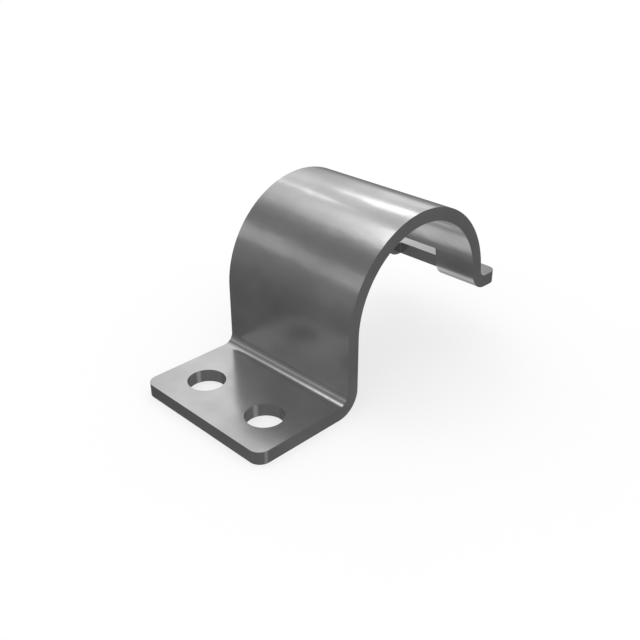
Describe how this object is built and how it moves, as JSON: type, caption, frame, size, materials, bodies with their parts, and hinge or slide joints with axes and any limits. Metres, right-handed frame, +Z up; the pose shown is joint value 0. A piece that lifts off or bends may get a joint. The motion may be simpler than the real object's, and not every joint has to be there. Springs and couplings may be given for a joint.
{
  "type": "half pipe clip",
  "caption": "Half pipe clip bent from flat steel strip: a half-round arch over the pipe, a drilled foot for bolts and an outward lip with a window for a hook.",
  "frame": {"origin": "on the pipe's centre line, halfway along the strip's width", "axes": "+Y along the pipe, +Z up and square to the foot, +X across the pipe from the foot towards the lip"},
  "size_m": [0.153, 0.075, 0.08],
  "materials": {
    "mill_finish_steel": "bare rolled steel, satin"
  },
  "bodies": {
    "root": {"half_clip": "mill_finish_steel"}
  },
  "joints": []
}
